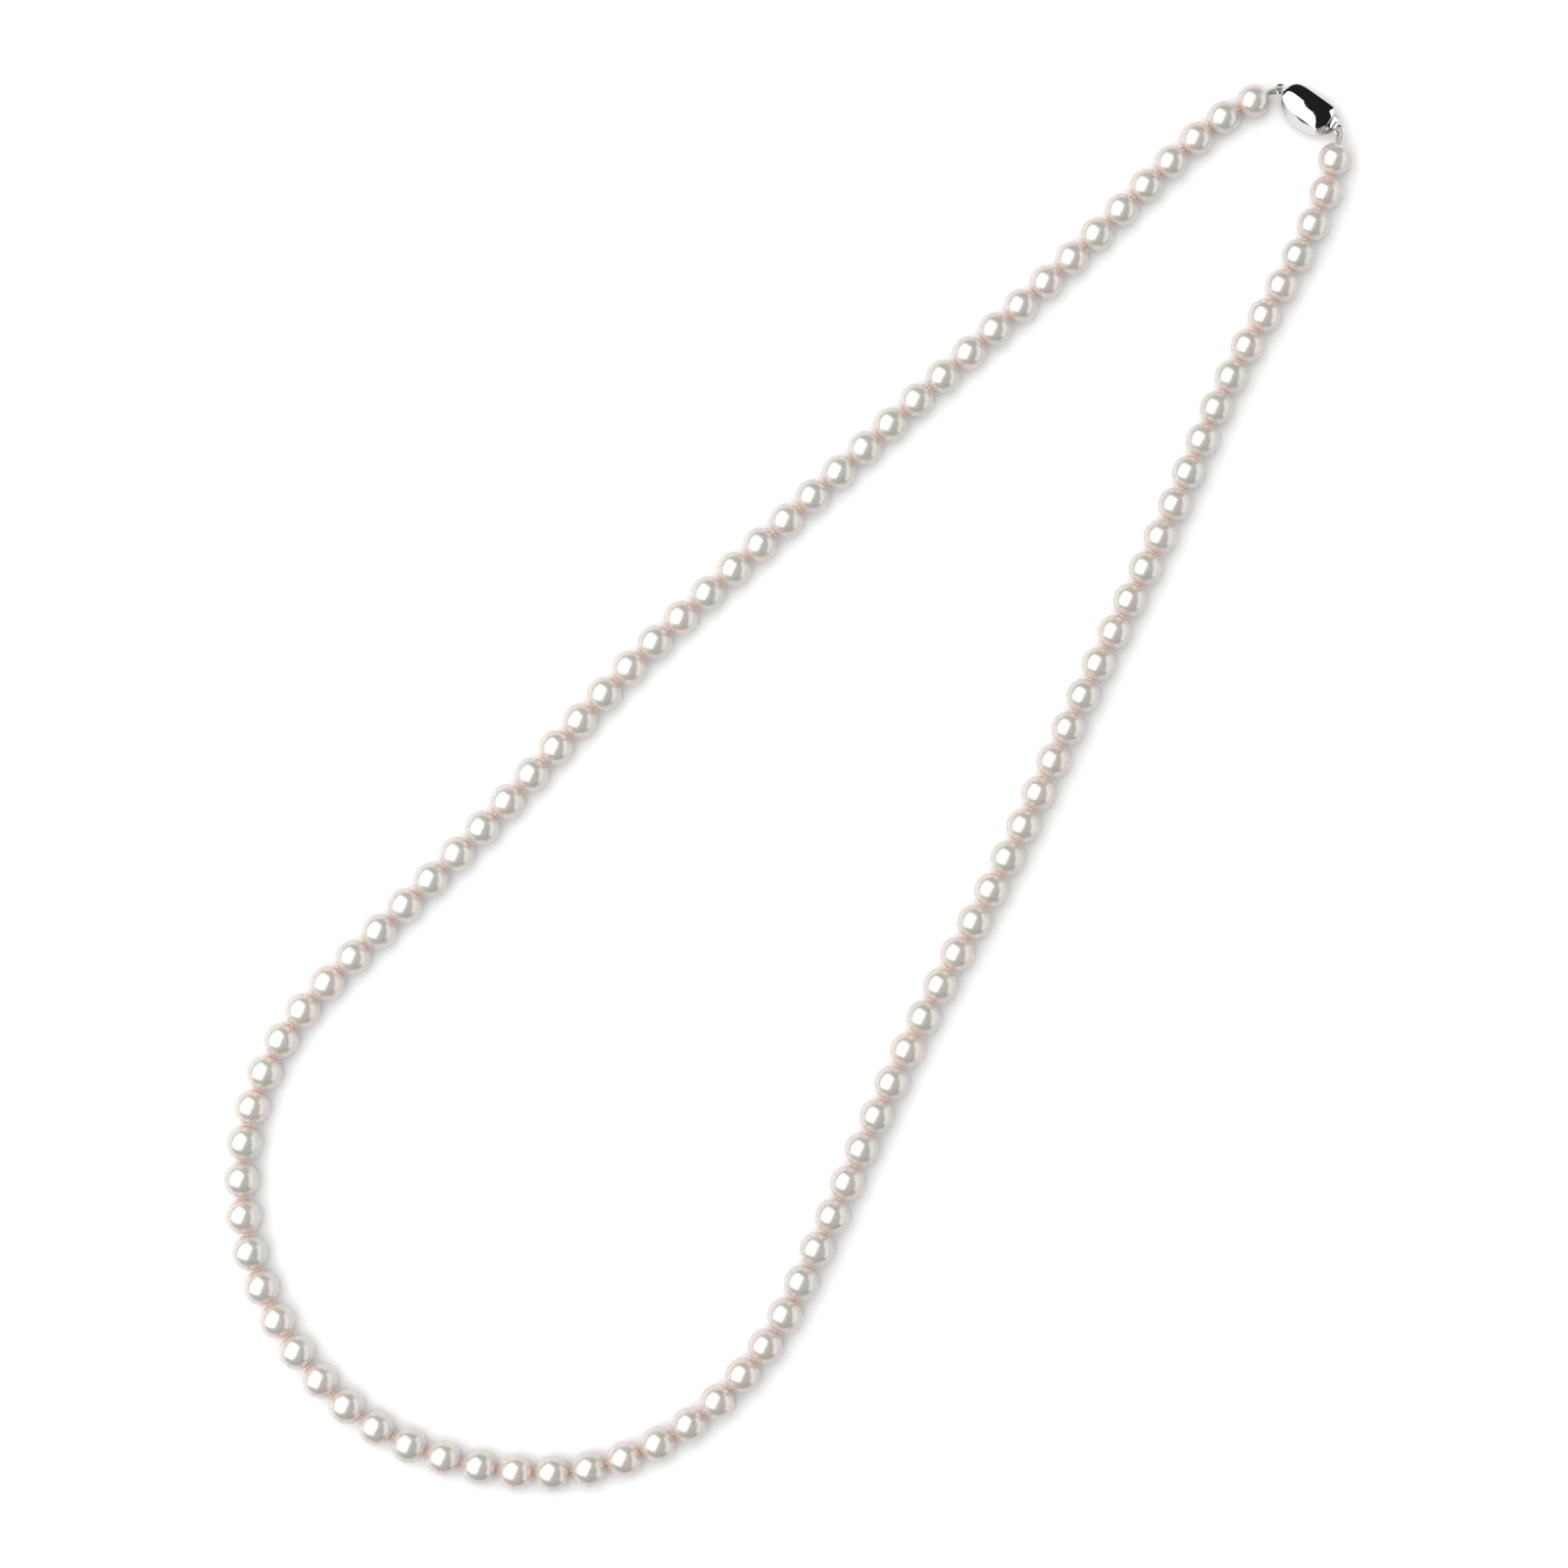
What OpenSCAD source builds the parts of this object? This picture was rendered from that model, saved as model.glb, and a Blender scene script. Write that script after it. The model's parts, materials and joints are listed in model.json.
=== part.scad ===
// Opera-length pearl necklace, laid out flat in a long drop shape, with a pillow box clasp.
// +Z is up from the surface that it lies on, and the clasp is at the +Y end.

/* [Pearls] */
// Number of pearls on the strand
pearl_count = 100; // [98:1:102]
// Diameter of the pearls next to the clasp
end_pearl_d = 7.2; // [7:0.05:7.4]
// Diameter of the pearls at the middle of the strand
middle_pearl_d = 7.8; // [7.6:0.05:8]
// Free length of thread between two pearls
pearl_gap = 0.2; // [0.15:0.05:0.3]
// Diameter of the drill hole through each pearl
hole_d = 0.8; // [0.7:0.05:1]

/* [Thread and wire] */
// Diameter of the doubled silk thread
thread_d = 0.56; // [0.4:0.02:0.6]
// Radius of the centre line of the thread loop at each end
loop_r = 1; // [0.9:0.05:1.1]
// Outer diameter of the coiled French wire that sheathes each loop
sheath_d = 0.8; // [0.76:0.02:0.9]
// Wall of the coiled French wire
sheath_wall = 0.1; // [0.08:0.01:0.1]

/* [Clasp] */
// Length of the closed clasp without its rings
clasp_l = 13.8; // [13:0.2:14.4]
// Width of the clasp at its widest level
clasp_w = 9.4; // [9:0.1:9.6]
// Width of the crowned top face
face_w = 6.9; // [6.4:0.1:7.2]
// Height of the crown above the clasp's axis
crown_h = 2.6; // [2.4:0.1:3]
// Radius of the crowned top face, across the clasp
crown_r = 6.2; // [5:0.1:8]
// Depth of the housing below the clasp's axis
belly_h = 1.9; // [1.8:0.1:2.2]
// Thickness of the housing wall
wall = 0.45; // [0.35:0.05:0.5]
// Angle by which the clasp lies rolled over towards its outer side
clasp_roll = 12; // [0:1:20]
// Height of the clasp's axis above the surface
clasp_z = 3.3; // [3.3:0.05:3.6]
// Radius of the centre line of each end ring
ring_r = 0.95; // [0.85:0.05:1]
// Thickness of the ring wire
ring_d = 0.5; // [0.44:0.02:0.56]

/* [Tongue] */
// Width of the tongue
tongue_w = 3.6; // [3.2:0.1:3.8]
// Thickness of the tongue strip
strip_t = 0.3; // [0.25:0.05:0.35]
// Width of the thumb tab
tab_w = 2.9; // [2.6:0.1:3]
// Length of the thumb tab
tab_l = 1.15; // [1:0.05:1.2]

/* [Hidden] */
$fn = 32;
// Narrow gap left between two pieces that are joined, and how far a cut runs past a face
fine = 0.02;
over = 1;

// ---- the strand ----

// Stretches of strand that move as one, each from one gap between pearls to another.
// Gap 0 is before the first pearl, at the clasp's left end.
STRETCHES = [
    ["left_end", 0, 9],
    ["left_nape", 9, 12],
    ["left_shoulder", 12, 16],
    ["left_upper", 16, 22],
    ["left_middle", 22, 27],
    ["left_lower", 27, 31],
    ["left_side", 31, 42],
    ["left_drop", 42, 45],
    ["drop", 45, 55],
    ["right_drop", 55, 58],
    ["right_side", 58, 69],
    ["right_lower", 69, 73],
    ["right_middle", 73, 78],
    ["right_upper", 78, 84],
    ["right_shoulder", 84, 88],
    ["right_nape", 88, 91],
    ["right_end", 91, pearl_count],
];

// Points that the strand passes through, from the clasp's left end to its right end
ROUTE = [
    [104.5, 150.7], [94.2, 145.4], [82.5, 135.2], [61.5, 114.7], [22.5, 79], [-17, 42.5],
    [-34.5, 26], [-66, -8.5], [-88.5, -31], [-109.5, -53.7], [-118.3, -76], [-117.7, -100],
    [-107.7, -122.4], [-90, -139.7], [-67, -148.3], [-43.5, -148.8], [-21.7, -139.2], [-5, -122],
    [6.5, -100], [26, -57], [48, -15], [64.5, 20.5], [81, 54.5], [96.2, 89],
    [110.7, 115], [117, 129], [119.5, 140],
];

// Running length of a chain of points
function running(v) =
    [for (i = 0, s = 0; i < len(v); s = i + 1 < len(v) ? s + norm(v[i + 1] - v[i]) : s, i = i + 1) s];

ROUTE_S = running(ROUTE);
route_last = len(ROUTE) - 1;

// Direction of the strand at a route point, per millimetre of route
function heading(i) =
    let (a = max(i - 1, 0), b = min(i + 1, route_last)) (ROUTE[b] - ROUTE[a]) / (ROUTE_S[b] - ROUTE_S[a]);

// Point at a fraction f of the smooth span that starts at route point i
function span_point(i, f) =
    let (l = ROUTE_S[i + 1] - ROUTE_S[i], g = f * f, h = g * f)
    ROUTE[i] * (2 * h - 3 * g + 1) + ROUTE[i + 1] * (3 * g - 2 * h)
    + heading(i) * l * (h - 2 * g + f) + heading(i + 1) * l * (h - g);

steps_per_span = 12;
CURVE = [
    for (i = [0:route_last - 1], j = [0:steps_per_span - 1]) span_point(i, j / steps_per_span),
    ROUTE[route_last],
];
CURVE_S = running(CURVE);

// Pearls grow smoothly from both ends to the middle of the strand
function pearl_d(k) = end_pearl_d + (middle_pearl_d - end_pearl_d) * sin(180 * (k + 0.5) / pearl_count);

// Distance of each gap along the strand
GAP_S = [for (k = 0, s = 0; k <= pearl_count; s = s + pearl_d(k) + pearl_gap, k = k + 1) s];

// The route is scaled to the strand's own length
fit = GAP_S[pearl_count] / CURVE_S[len(CURVE) - 1];
ALONG_X = [for (i = [0:len(CURVE) - 1]) [CURVE_S[i] * fit, CURVE[i].x * fit]];
ALONG_Y = [for (i = [0:len(CURVE) - 1]) [CURVE_S[i] * fit, CURVE[i].y * fit]];
function along(s) = [lookup(s, ALONG_X), lookup(s, ALONG_Y)];

// Outermost reach of the pearls each way, from which the origin is set under their middle
last_pearl = pearl_count - 1;
function reach(k, axis, side) =
    (along(GAP_S[k])[axis] + along(GAP_S[k + 1])[axis] + side * pearl_d(k)) / 2;
function middle(axis) =
    (
        min([for (k = [0:last_pearl]) reach(k, axis, -1)])
        + max([for (k = [0:last_pearl]) reach(k, axis, 1)])
    ) / 2;
centre = [middle(0), middle(1)];

// Place of each gap: pearls lie on the surface, so the thread runs at their radius
function gap_z(k) = (pearl_d(max(k - 1, 0)) + pearl_d(min(k, last_pearl))) / 4;
GAPS = [for (k = [0:pearl_count]) let (p = along(GAP_S[k]) - centre) [p.x, p.y, gap_z(k)]];

function unit(v) = v / norm(v);
function flat(v) = [v.x, v.y, 0];
function azimuth(v) = atan2(v.y, v.x);

// Turns the children so that +Z points along v
module point_along(v) {
    rotate([0, acos(v.z / norm(v)), azimuth(v)]) children();
}

// Solid through a row of outlines, each of them anticlockwise as seen from the next one
module loft(rings) {
    n = len(rings[0]);
    rows = len(rings);
    sides = [
        for (i = [0:rows - 2], j = [0:n - 1])
            [i * n + j, (i + 1) * n + j, (i + 1) * n + (j + 1) % n, i * n + (j + 1) % n],
    ];
    start = [for (j = [0:n - 1]) j];
    end = [for (j = [n - 1:-1:0]) (rows - 1) * n + j];
    polyhedron(points = [for (r = rings) each r], faces = concat([start], sides, [end]), convexity = 6);
}

// One drilled pearl
module pearl(k) {
    translate((GAPS[k] + GAPS[k + 1]) / 2)
        point_along(GAPS[k + 1] - GAPS[k])
            difference() {
                sphere(d = pearl_d(k));
                cylinder(d = hole_d, h = 2 * pearl_d(k), center = true);
            }
}

module stretch_pearls(s) {
    color("#f4ece6")
        for (k = [s[1]:s[2] - 1]) pearl(k);
}

// The thread turns at each gap, and stops short of the next stretch's thread
thread_stop = 0.2;
thread_sides = 8;

// Outline of the thread at p, square to the direction v
function thread_ring(p, v) =
    let (side = unit(cross([0, 0, 1], v)), up = cross(unit(v), side))
    [
        for (j = [0:thread_sides - 1]) let (a = 360 * j / thread_sides)
            p + thread_d / 2 * (cos(a) * side + sin(a) * up),
    ];

module stretch_thread(s) {
    last = GAPS[s[2]] - unit(GAPS[s[2]] - GAPS[s[2] - 1]) * thread_stop;
    line = concat([for (k = [s[1]:s[2] - 1]) GAPS[k]], [last]);
    end = len(line) - 1;
    color("ivory")
        loft([for (k = [0:end]) thread_ring(line[k], line[min(k + 1, end)] - line[max(k - 1, 0)])]);
}

// ---- the clasp: its own X runs from the left ring to the right ring, and Z is up through its crown ----

half_l = clasp_l / 2;
ring_overlap = 0.1;
ring_x = half_l + ring_r - ring_overlap;
loop_reach = 2.66;
left_mouth = GAPS[0];
right_mouth = GAPS[pearl_count];
left_out = unit(flat(left_mouth - GAPS[1]));
right_out = unit(flat(right_mouth - GAPS[last_pearl]));
left_ring_wish = flat(left_mouth) + loop_reach * left_out;
right_ring_wish = flat(right_mouth) + loop_reach * right_out;
clasp_at = (left_ring_wish + right_ring_wish) / 2 + [0, 0, clasp_z];
clasp_u = unit(right_ring_wish - left_ring_wish);
clasp_v = [-clasp_u.y * cos(clasp_roll), clasp_u.x * cos(clasp_roll), -sin(clasp_roll)];
left_ring_at = clasp_at - ring_x * clasp_u;
right_ring_at = clasp_at + ring_x * clasp_u;

module on_clasp() {
    translate(clasp_at) rotate([0, 0, azimuth(clasp_u)]) rotate([-clasp_roll, 0, 0]) children();
}

// Half width at the widest level, which narrows to a small blunt tip at each end
plan_l = half_l + 0.2;
plan_power = 0.58;
function plan_share(x) = 1 - pow(x / plan_l, 2);
function wide_half(x) = clasp_w / 2 * pow(plan_share(x), plan_power);
// Height of the widest level, which is low in the middle of the clasp
wide_depth = 1.4;
function wide_z(x) = -wide_depth * plan_share(x);
// Half width of the crowned face: round at the left, straight, then drawn in to the thumb tab
crown_l = half_l + 0.1;
face_left = 2.5;
face_end = half_l - 0.8;
FACE = [[3.6, face_w / 2], [4.6, 1.8], [face_end, 1.35], [half_l, 0.45]];
face_share = 0.95;
function face_raw(x) =
    x < -face_left ? face_w / 2 * sqrt(max(0, 1 - pow((x + face_left) / (crown_l - face_left), 2)))
    : lookup(x, FACE);
function face_half(x) = min(face_raw(x), face_share * wide_half(x));
// Height of the crown along the middle, and of the edge of the crowned face
tip_h = 0.9;
crown_power = 4.2;
function crown_z(x) = tip_h + (crown_h - tip_h) * (1 - pow(abs(x) / crown_l, crown_power));
function sag(y) = crown_r - sqrt(crown_r * crown_r - y * y);
function edge_z(x) = crown_z(x) - sag(face_half(x));
// Depth of the belly, and its half width at the bottom
belly_flat = 5;
function belly_z(x) =
    belly_h - (belly_h - tip_h) * pow(max(0, abs(x) - belly_flat) / (half_l - belly_flat), 2);
belly_taper = 0.7;
function belly_half(x) = belly_taper * wide_half(x);

wall_steps = 4;
crown_steps = 8;
belly_steps = 3;
least_half = 0.1;

// The side wall bulges a little from a straight slope
wall_bulge = 0.25;
function bulged(straight, round) = straight + wall_bulge * (round - straight);

// One cross-section, right round from the right side over the crown, drawn in by t
function section(x, t) =
    let (
        m = max(wide_half(x) - t, least_half),
        w = wide_z(x),
        f = min(max(face_half(x) - t, least_half), face_share * m),
        e = edge_z(x) - t,
        b = min(max(belly_half(x) - t, least_half), face_share * m),
        low = belly_z(x) - t,
        side = [
            for (i = [0:wall_steps - 1]) let (a = 90 * i / wall_steps, s = i / wall_steps)
                [f + (m - f) * bulged(1 - s, cos(a)), w + (e - w) * bulged(s, sin(a))],
        ],
        crown = [for (i = [0:crown_steps]) let (y = f * cos(180 * i / crown_steps)) [y, e + sag(f) - sag(y)]],
        under = [
            for (i = [1:belly_steps]) let (a = 90 * i / belly_steps)
                [b + (m - b) * cos(a), w - (low + w) * sin(a)],
        ],
        turned = [for (i = [wall_steps - 1:-1:0]) [-side[i][0], side[i][1]]],
        outline = concat(side, crown, turned, [for (p = under) [-p[0], p[1]]],
            [for (i = [belly_steps - 1:-1:0]) under[i]])
    )
    [for (p = outline) [x, p[0], p[1]]];

// Stations from x0 to x1, closer together near the tips
function stations(x0, x1, n) = [for (i = [0:n]) x0 + (x1 - x0) * (1 - cos(180 * i / n)) / 2];

mouth_x = 4.9;
split = 0.06;
end_wall = 0.7;
housing_steps = 20;
cap_steps = 8;

// The space inside the housing, left clear by t more than the wall, and open at the mouth
module housing_space(t, x1) {
    loft([for (x = stations(end_wall + t - half_l, x1, housing_steps)) section(x, wall + t)]);
}

// Outline of the belly's flat from x0 to x1, drawn in by t
base_steps = 16;
module belly_flat_outline(x0, x1, t) {
    half = [for (x = stations(x0, x1, base_steps)) [x, belly_half(x) - t]];
    polygon(concat(half, [for (i = [len(half) - 1:-1:0]) [half[i][0], -half[i][1]]]));
}

// The housing is open below too, inside a lip
lip_end = 4.4;

module clasp_housing() {
    color("silver") on_clasp()
        difference() {
            loft([for (x = stations(-half_l, mouth_x, housing_steps)) section(x, 0)]);
            housing_space(0, mouth_x + over);
            translate([0, 0, -belly_h - over])
                linear_extrude(2 * over)
                    belly_flat_outline(-lip_end, lip_end, wall);
        }
}

// Flat back plate that closes the housing's underside
base_t = 0.4;
base_end = 4.8;
base_inset = 0.05;

module clasp_base() {
    color("silver") on_clasp()
        translate([0, 0, -belly_h - fine - base_t])
            linear_extrude(base_t)
                belly_flat_outline(-belly_flat, base_end, base_inset);
}

// Plate across the housing's mouth: the tongue passes its slot, and the spring catches behind its lip
plate_t = 0.5;
plate_inset = 0.05;
plate_x = mouth_x - plate_t - plate_inset;
slide_gap = 0.15;
slot_w = tongue_w + 2 * slide_gap;
slot_low = 1.7;
slot_high = 0.55;
neck_w = 1.4;
neck_slot_w = neck_w + 2 * slide_gap;
neck_slot_top = 1.35;

module catch_plate() {
    cut = plate_t + 2 * over;
    color("silver") on_clasp()
        difference() {
            intersection() {
                housing_space(fine, mouth_x);
                translate([plate_x, -clasp_w / 2, -belly_h]) cube([plate_t, clasp_w, 2 * clasp_w]);
            }
            translate([plate_x - over, -slot_w / 2, -slot_low]) cube([cut, slot_w, slot_low + slot_high]);
            translate([plate_x - over, -neck_slot_w / 2, 0]) cube([cut, neck_slot_w, neck_slot_top]);
        }
}

// Ring of round wire whose two ends butt on a tip of the clasp
module end_ring() {
    tip = half_l + fine - ring_x;
    difference() {
        rotate_extrude() translate([ring_r, 0]) circle(d = ring_d);
        translate([tip - ring_r, -ring_r, -ring_d]) cube([ring_r, 2 * ring_r, 2 * ring_d]);
    }
}

module housing_ring() {
    color("silver") on_clasp() translate([-ring_x, 0, 0]) mirror([1, 0, 0]) end_ring();
}

module tongue_ring() {
    color("silver") on_clasp() translate([ring_x, 0, 0]) end_ring();
}

// Tongue: a base strip with a round fold at its front, and a spring strip that rises from the fold
fold_x = -4.6;
fold_z = -0.8;
fold_d = 0.5;
fold_gap = 0.05;
base_top = -0.9;
cap_wall = 0.55;
pocket_floor = -0.1;
pocket_w = tab_w + 2 * slide_gap;
neck_z = 0.75;
neck_root = 0.5;
catch_gap = 0.1;
catch_x = plate_x - catch_gap;
neck_end = face_end - 0.1;

module tongue_base() {
    color("gainsboro") on_clasp() {
        translate([fold_x, -tongue_w / 2, base_top - strip_t])
            cube([mouth_x + split - fine - fold_x, tongue_w, strip_t]);
        translate([fold_x, 0, fold_z]) rotate([90, 0, 0]) cylinder(d = fold_d, h = tongue_w, center = true);
    }
}

// The spring strip slopes up from the fold to the catch, then a narrow neck runs out through the slot
module tongue_spring() {
    start = fold_d / 2 + fold_gap;
    length = norm([catch_x - fold_x, neck_z - fold_z]);
    slope = atan((neck_z - fold_z) / (catch_x - fold_x));
    color("gainsboro") on_clasp() {
        translate([fold_x, tongue_w / 2, fold_z]) rotate([90, -slope, 0])
            translate([start, 0, 0]) cube([length - start, strip_t, tongue_w]);
        translate([catch_x - neck_root, -neck_w / 2, neck_z])
            cube([neck_end - catch_x + neck_root, neck_w, strip_t]);
    }
}

// Thumb tab on the neck of the spring, which carries the crown on over the end cap
module thumb_tab() {
    color("silver") on_clasp()
        intersection() {
            loft([for (x = stations(mouth_x, half_l, cap_steps)) section(x, 0)]);
            translate([mouth_x + split, -tab_w / 2, neck_z + strip_t + fine]) cube([tab_l, tab_w, crown_h]);
        }
}

// End cap of the tongue, with a pocket below the tab for it to be pressed into
module tongue_end_cap() {
    pocket_l = half_l - cap_wall - mouth_x;
    color("silver") on_clasp()
        difference() {
            loft([for (x = stations(mouth_x + split, half_l, cap_steps)) section(x, 0)]);
            translate([mouth_x - over, -pocket_w / 2, pocket_floor])
                cube([pocket_l + over, pocket_w, 2 * crown_h]);
        }
}

// ---- loops that tie the strand's ends to the rings ----

// Where the loop crosses the middle of the ring's wire, on the side that faces the strand
function crossing(ring_at, mouth) =
    let (way = unit(flat(mouth - ring_at)), s = norm([way * clasp_u, way * clasp_v]))
    ring_at + ring_r / s * ((way * clasp_u) * clasp_u + (way * clasp_v) * clasp_v);

// Each loop leans over towards the same side of the clasp
loop_lean = 20;

// Places a loop on the ring, with +X towards the pearl's drill hole
module on_ring(ring_at, mouth) {
    c = crossing(ring_at, mouth);
    v = mouth - c;
    lean = sign(-v * clasp_u) * loop_lean;
    translate(c) rotate([0, 0, azimuth(v)]) rotate([0, -atan2(v.z, norm(flat(v))), 0])
        rotate([90 + lean, 0, 0])
            children();
}

// The loop of doubled thread, and its tail to just outside the drill hole
module thread_loop(ring_at, mouth) {
    tail = norm(mouth - crossing(ring_at, mouth)) - thread_stop;
    color("ivory") on_ring(ring_at, mouth) {
        rotate_extrude() translate([loop_r, 0]) circle(d = thread_d);
        translate([loop_r, 0, 0]) rotate([0, 90, 0]) cylinder(d = thread_d, h = tail - loop_r);
    }
}

// The French wire round the loop, open where the thread leaves for the pearl
sheath_opening = 64;
module sheath(ring_at, mouth) {
    color("silver") on_ring(ring_at, mouth)
        rotate([0, 0, sheath_opening / 2])
            rotate_extrude(angle = 360 - sheath_opening)
                translate([loop_r, 0])
                    difference() {
                        circle(d = sheath_d);
                        circle(d = sheath_d - 2 * sheath_wall);
                    }
}

module left_thread_loop() {
    thread_loop(left_ring_at, left_mouth);
}

module right_thread_loop() {
    thread_loop(right_ring_at, right_mouth);
}

module left_french_wire() {
    sheath(left_ring_at, left_mouth);
}

module right_french_wire() {
    sheath(right_ring_at, right_mouth);
}

// ---- nodes ----

function pearls_of(s) = str(s[0], "_pearls");
function thread_of(s) = str(s[0], "_thread");

for (s = STRETCHES) stretch_pearls(s);
for (s = STRETCHES) stretch_thread(s);
left_thread_loop();
right_thread_loop();
left_french_wire();
right_french_wire();
clasp_housing();
clasp_base();
catch_plate();
housing_ring();
tongue_base();
tongue_spring();
thumb_tab();
tongue_end_cap();
tongue_ring();
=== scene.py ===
import json
import math
import random

import bmesh
import bpy
import numpy as np
from mathutils import Matrix, Vector, noise


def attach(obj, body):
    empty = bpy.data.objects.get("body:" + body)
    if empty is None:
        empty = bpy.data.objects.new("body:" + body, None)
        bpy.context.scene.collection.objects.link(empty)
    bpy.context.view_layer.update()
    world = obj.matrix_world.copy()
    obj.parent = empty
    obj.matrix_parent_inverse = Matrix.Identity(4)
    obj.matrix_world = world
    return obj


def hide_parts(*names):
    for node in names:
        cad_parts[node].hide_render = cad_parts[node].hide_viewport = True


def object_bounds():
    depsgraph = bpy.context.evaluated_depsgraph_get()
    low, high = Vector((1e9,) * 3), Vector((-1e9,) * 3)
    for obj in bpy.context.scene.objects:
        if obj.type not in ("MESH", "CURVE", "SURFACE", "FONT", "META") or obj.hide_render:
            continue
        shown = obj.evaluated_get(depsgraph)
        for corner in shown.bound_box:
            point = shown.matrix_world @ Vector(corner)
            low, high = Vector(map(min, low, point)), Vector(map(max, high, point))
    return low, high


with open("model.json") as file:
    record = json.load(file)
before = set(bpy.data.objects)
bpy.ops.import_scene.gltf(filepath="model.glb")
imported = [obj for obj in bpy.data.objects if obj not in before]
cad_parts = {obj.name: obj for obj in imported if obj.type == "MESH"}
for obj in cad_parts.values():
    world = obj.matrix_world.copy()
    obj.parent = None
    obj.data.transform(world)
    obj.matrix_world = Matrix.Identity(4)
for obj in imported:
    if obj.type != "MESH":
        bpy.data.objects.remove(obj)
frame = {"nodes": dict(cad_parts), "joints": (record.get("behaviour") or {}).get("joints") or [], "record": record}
cad_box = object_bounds()
MM = 0.001
BODY_OF = {n: b for b, ns in frame["record"]["behaviour"]["bodies"].items() for n in ns}
JOINT = {j["name"]: j for j in frame["joints"]}
UP = (0, 0, 1)


# ---------------------------------------------------------------- mesh helpers

def new_object(name, points, faces):
    mesh = bpy.data.meshes.new(name)
    mesh.from_pydata([tuple(p) for p in points], [], [tuple(int(i) for i in f) for f in faces])
    mesh.validate()
    mesh.shade_smooth()
    obj = bpy.data.objects.new(name, mesh)
    bpy.context.scene.collection.objects.link(obj)
    return obj


def finish_piece(obj, kind, node):
    """Gives a new piece its material, and says which CAD node it stands for."""
    obj.data.materials.append(kind)
    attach(obj, BODY_OF[node])
    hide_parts(node)


def grid_faces(rows, cols, closed_rows=False):
    """Quads of a grid of points, closed along its columns, and along its rows if asked."""
    i, j = np.meshgrid(np.arange(rows if closed_rows else rows - 1), np.arange(cols), indexing="ij")
    i, j = i.ravel(), j.ravel()
    i2, j2 = (i + 1) % rows, (j + 1) % cols
    return np.stack([i * cols + j, i * cols + j2, i2 * cols + j2, i2 * cols + j], 1)


def around(count):
    """Equal angles of a whole turn."""
    return np.arange(count) * 2 * math.pi / count


def frames_along(path, up):
    """A side and a second direction at each point of a path, both square to it."""
    run = np.gradient(path, axis=0)
    run /= np.linalg.norm(run, axis=1)[:, None]
    side = np.cross(np.broadcast_to(up, run.shape), run)
    side /= np.linalg.norm(side, axis=1)[:, None]
    return side, np.cross(run, side)


def tube(path, radius, sides, up):
    """Points and faces of a closed round tube along a path."""
    side, top = frames_along(path, up)
    a = around(sides)
    ring = side[:, None, :] * np.cos(a)[None, :, None] + top[:, None, :] * np.sin(a)[None, :, None]
    points = (path[:, None, :] + radius * ring).reshape(-1, 3)
    n = len(path)
    faces = [tuple(f) for f in grid_faces(n, sides)]
    faces += [tuple(range(sides))[::-1], tuple((n - 1) * sides + k for k in range(sides))]
    return points, faces


def resample(path, step):
    """Points at about equal steps along a path of straight pieces, and each one's distance along it."""
    path = np.asarray(path, float)
    s = np.concatenate([[0], np.cumsum(np.linalg.norm(np.diff(path, axis=0), axis=1))])
    t = np.linspace(0, s[-1], max(4, int(round(s[-1] / step)) + 1))
    return np.stack([np.interp(t, s, path[:, k]) for k in range(3)], 1), t


def helix(path, along, radius, pitch, phase, up):
    """A helix round a path, from the path's points and their distances along it."""
    side, top = frames_along(path, up)
    a = 2 * math.pi * along / pitch + phase
    return path + radius * (np.cos(a)[:, None] * side + np.sin(a)[:, None] * top)


def join(parts):
    """Joins (points, faces) pairs into one."""
    points, faces, start = [], [], 0
    for p, f in parts:
        points.append(p)
        faces += [tuple(i + start for i in face) for face in f]
        start += len(p)
    return np.concatenate(points), faces


# ---------------------------------------------------------------- materials

# The colour sockets of the mix node share their names with its other sockets, so they go by number
MIX_FACTOR, MIX_A, MIX_B, MIX_RESULT = 0, 6, 7, 2


def material(name, **values):
    m = bpy.data.materials.new(name)
    m.use_nodes = True
    tree = m.node_tree
    shader = tree.nodes["Principled BSDF"]
    for key, value in values.items():
        shader.inputs[key.replace("_", " ")].default_value = value
    return m, tree, shader


def mapped(tree, value, low, high, from_low=0.0, from_high=1.0):
    n = tree.nodes.new("ShaderNodeMapRange")
    n.inputs["From Min"].default_value = from_low
    n.inputs["From Max"].default_value = from_high
    n.inputs["To Min"].default_value = low
    n.inputs["To Max"].default_value = high
    tree.links.new(value, n.inputs["Value"])
    return n.outputs["Result"]


def mixed(tree, factor, a, b):
    """A mix of two colours, each a tuple or another node's socket."""
    n = tree.nodes.new("ShaderNodeMix")
    n.data_type = "RGBA"
    for value, socket in ((a, n.inputs[MIX_A]), (b, n.inputs[MIX_B])):
        if isinstance(value, tuple):
            socket.default_value = (*value, 1)
        else:
            tree.links.new(value, socket)
    tree.links.new(factor, n.inputs[MIX_FACTOR])
    return n.outputs[MIX_RESULT]


def bump(tree, shader, height, distance, strength):
    n = tree.nodes.new("ShaderNodeBump")
    n.inputs["Distance"].default_value = distance
    n.inputs["Strength"].default_value = strength
    tree.links.new(height, n.inputs["Height"])
    tree.links.new(n.outputs["Normal"], shader.inputs["Normal"])


def noise_tex(tree, scale, detail, rough=0.5):
    n = tree.nodes.new("ShaderNodeTexNoise")
    n.inputs["Scale"].default_value = scale
    n.inputs["Detail"].default_value = detail
    n.inputs["Roughness"].default_value = rough
    tree.links.new(tree.nodes.new("ShaderNodeTexCoord").outputs["Object"], n.inputs["Vector"])
    return n.outputs["Fac"]


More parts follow.
